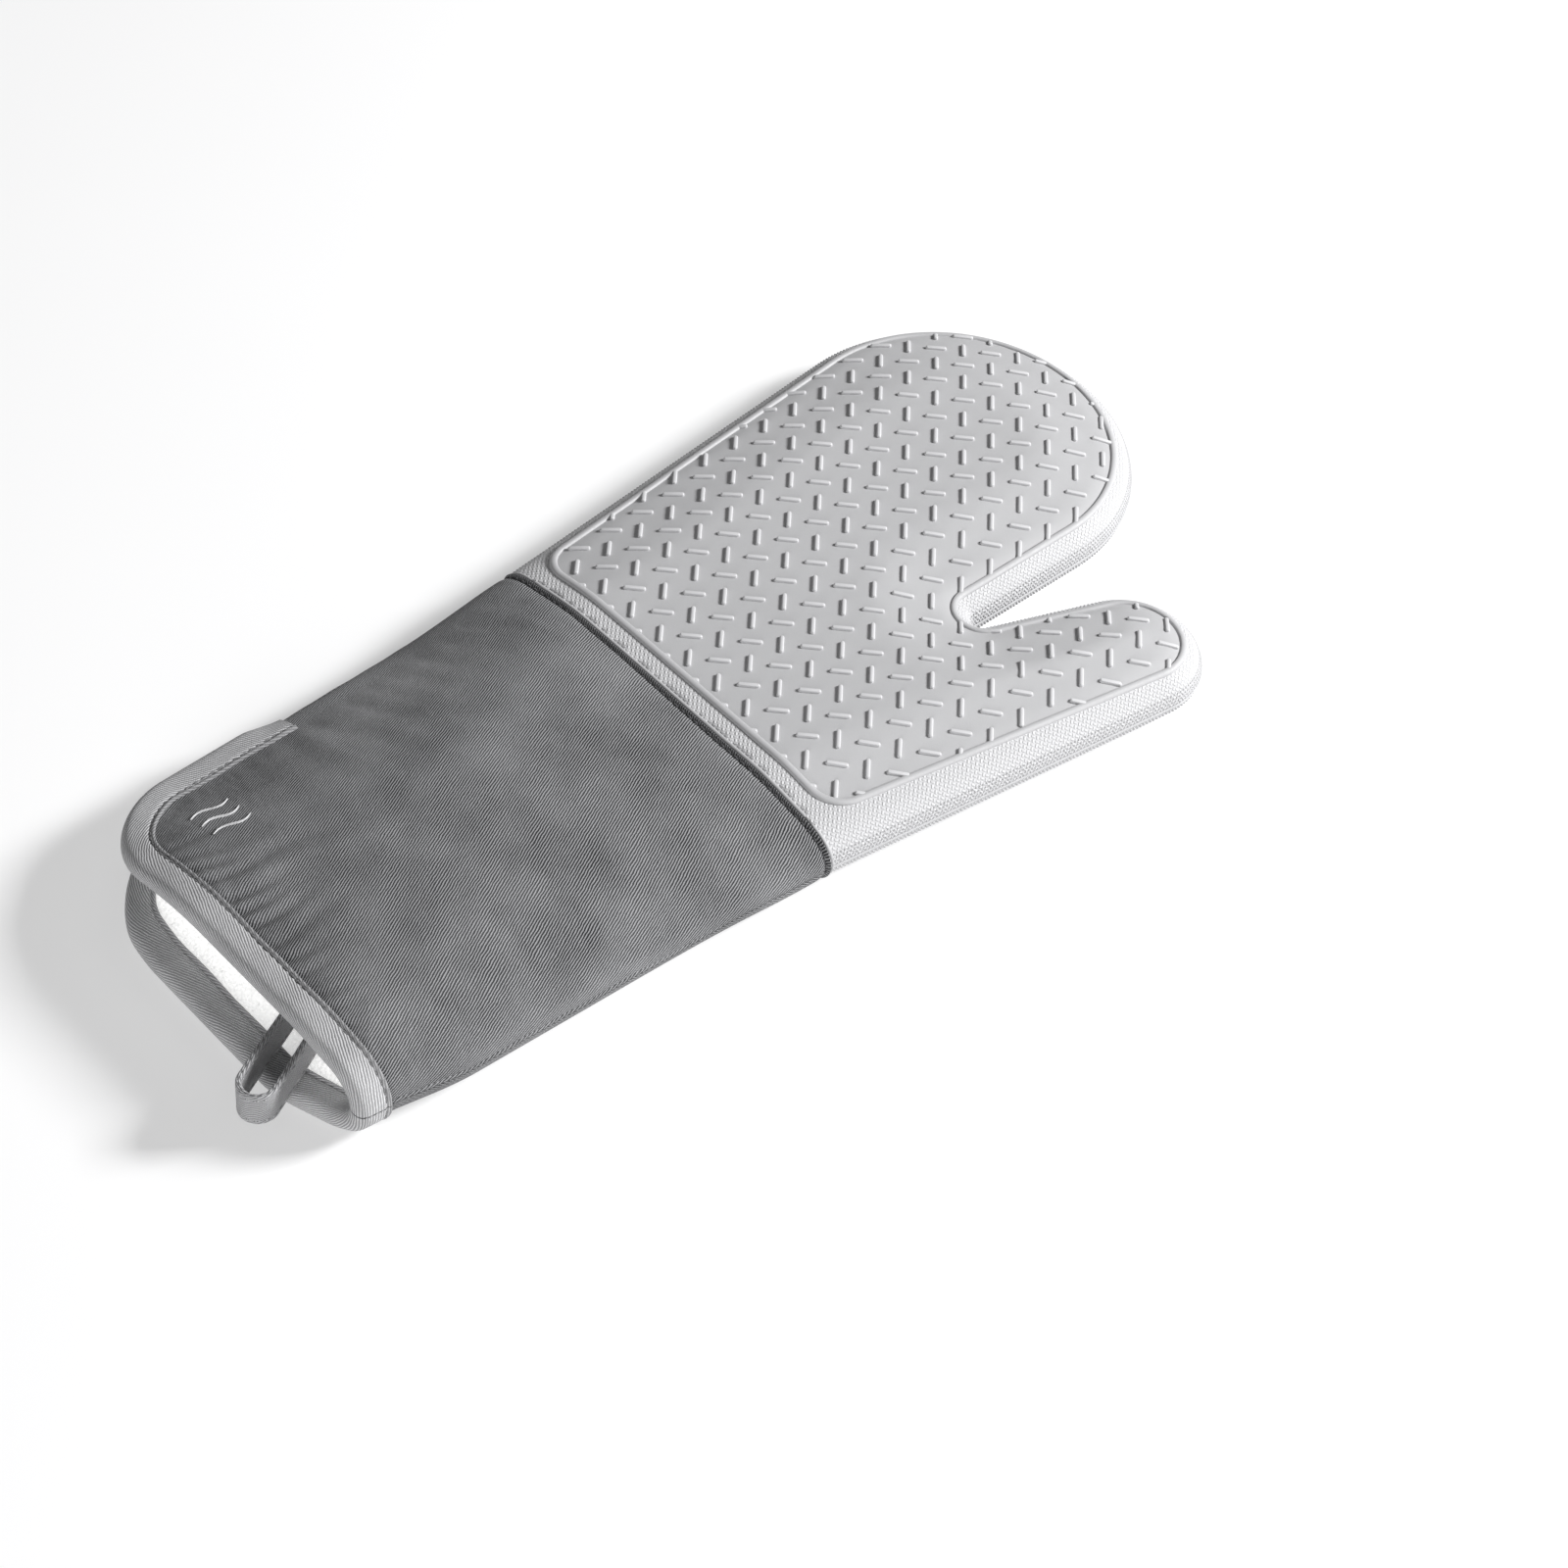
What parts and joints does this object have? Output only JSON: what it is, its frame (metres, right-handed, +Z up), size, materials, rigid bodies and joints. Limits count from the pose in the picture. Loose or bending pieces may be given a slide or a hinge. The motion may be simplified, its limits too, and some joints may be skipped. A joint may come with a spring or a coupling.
{
  "type": "oven mitt",
  "caption": "Extra-long oven mitt with ribbed silicone hand, padded twill cuff with bound mouth and side vent, terry lining and a hanging loop that swings.",
  "frame": {"origin": "under the middle of the mitt's bounding box, on the table that it lies on", "axes": "+X along the mitt to the fingertips, +Y to the little-finger side, +Z up through the front face"},
  "size_m": [0.3964, 0.1818, 0.028],
  "materials": {
    "silicone": "matt moulded silicone with raised ribs and a fine nub texture round the edge",
    "grey_twill": "mid-grey cotton twill with a clear diagonal",
    "pale_twill_tape": "light grey cotton twill tape",
    "terry": "white looped terry",
    "wadding": "soft white polyester wadding",
    "pale_thread": "pale grey sewing thread",
    "dark_thread": "dark grey sewing thread"
  },
  "bodies": {
    "mitt": {"silicone_hand_front": "silicone", "silicone_hand_back": "silicone", "hand_wadding_front": "wadding", "hand_wadding_back": "wadding", "hand_lining_front": "terry", "hand_lining_back": "terry", "cuff_twill_front": "grey_twill", "cuff_twill_back": "grey_twill", "cuff_wadding_front": "wadding", "cuff_wadding_back": "wadding", "cuff_lining_front": "terry", "cuff_lining_back": "terry", "binding_front": "pale_twill_tape", "binding_back": "pale_twill_tape", "binding_thread_front": "pale_thread", "binding_thread_back": "pale_thread", "join_thread_front": "dark_thread", "join_thread_back": "dark_thread", "silicone_edge_bond": "silicone", "hand_lining_seam": "terry", "cuff_seam_thumb_side": "grey_twill", "cuff_seam_finger_side": "grey_twill", "steam_embroidery_1": "pale_thread", "steam_embroidery_2": "pale_thread", "steam_embroidery_3": "pale_thread", "hanging_loop_tack": "pale_thread"},
    "loop": {"hanging_loop": "pale_twill_tape"}
  },
  "joints": [
    {"name": "loop_swing", "type": "hinge", "parent": "mitt", "child": "loop", "pos_m": [-0.1605, -0.022, 0.014], "axis": [0, 0, 1], "range_deg": [-95, 15]}
  ]
}
